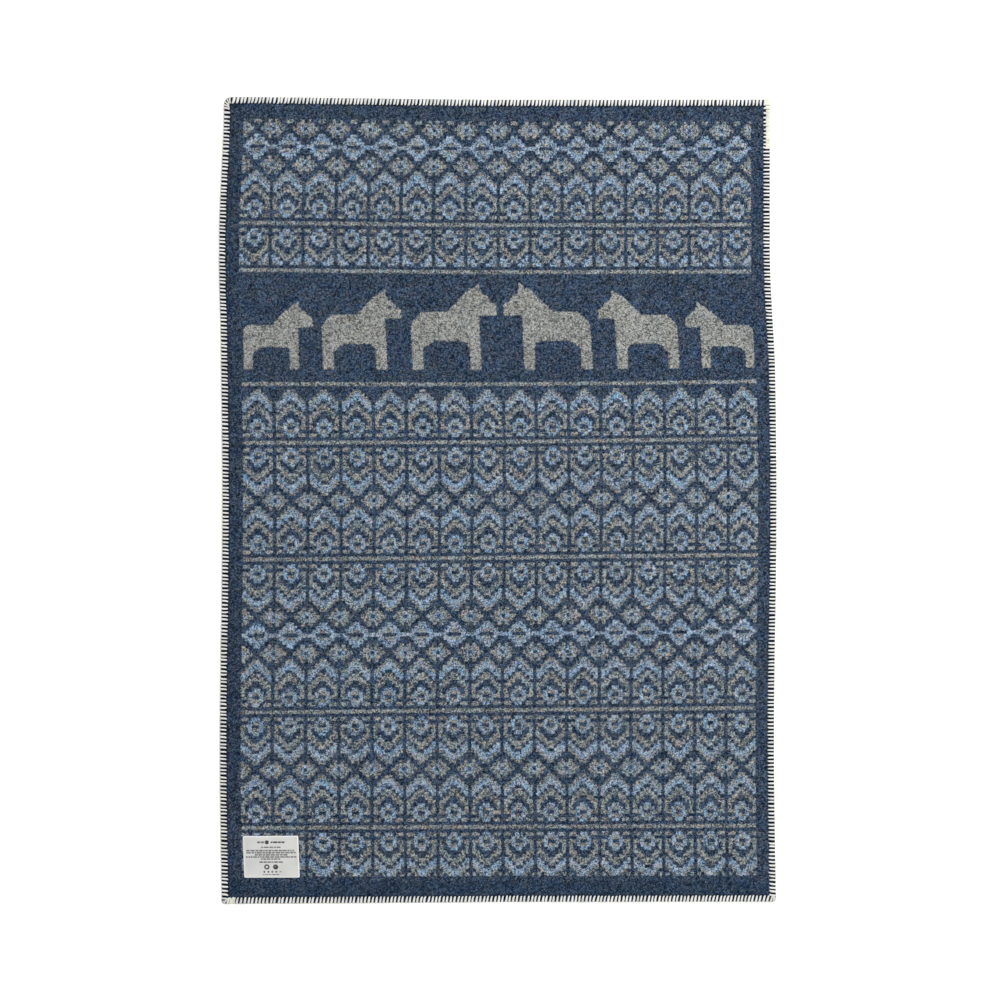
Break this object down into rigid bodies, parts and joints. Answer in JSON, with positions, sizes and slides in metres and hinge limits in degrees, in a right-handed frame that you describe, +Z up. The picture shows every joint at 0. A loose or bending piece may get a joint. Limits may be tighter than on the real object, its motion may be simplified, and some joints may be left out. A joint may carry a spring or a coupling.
{
  "type": "wool throw",
  "caption": "Double-woven wool throw with arch, rosette and diamond bands, a band of dala horses, a whipstitched edge and a sewn label, laid flat.",
  "frame": {"origin": "middle of the underside, on the surface that the throw lies on", "axes": "+X across the width to the right of the horses' band, +Y along the length towards the top border, +Z up out of the patterned face"},
  "size_m": [0.9, 1.31, 0.0054],
  "materials": {
    "ground_wool": "fulled navy wool",
    "blue_wool": "fulled light-blue wool",
    "grey_wool": "fulled undyed grey wool",
    "edge_yarn": "plied cream wool yarn",
    "label_tape": "satin polyester tape",
    "label_ink": "matt printing ink",
    "label_sewing": "polyester sewing thread"
  },
  "bodies": {
    "root": {"cloth_back": "ground_wool", "cloth_face": "ground_wool", "horse_1": "grey_wool", "horse_2": "grey_wool", "horse_3": "grey_wool", "horse_4": "grey_wool", "horse_5": "grey_wool", "horse_6": "grey_wool", "stripe_1": "grey_wool", "stripe_2": "grey_wool", "stripe_3": "grey_wool", "stripe_4": "grey_wool", "stripe_5": "grey_wool", "stripe_6": "grey_wool", "stripe_7": "grey_wool", "blue_band_1": "blue_wool", "blue_band_2": "blue_wool", "blue_band_3": "blue_wool", "blue_band_4": "blue_wool", "blue_band_5": "blue_wool", "blue_band_6": "blue_wool", "blue_band_7": "blue_wool", "grey_band_1": "grey_wool", "grey_band_2": "grey_wool", "grey_band_3": "grey_wool", "grey_band_4": "grey_wool", "grey_band_5": "grey_wool", "grey_band_6": "grey_wool", "grey_band_7": "grey_wool", "stitch_top": "edge_yarn", "stitch_bottom": "edge_yarn", "stitch_left": "edge_yarn", "stitch_right": "edge_yarn", "stitch_overlap": "edge_yarn", "label": "label_tape", "label_print": "label_ink", "label_thread": "label_sewing"}
  },
  "joints": []
}
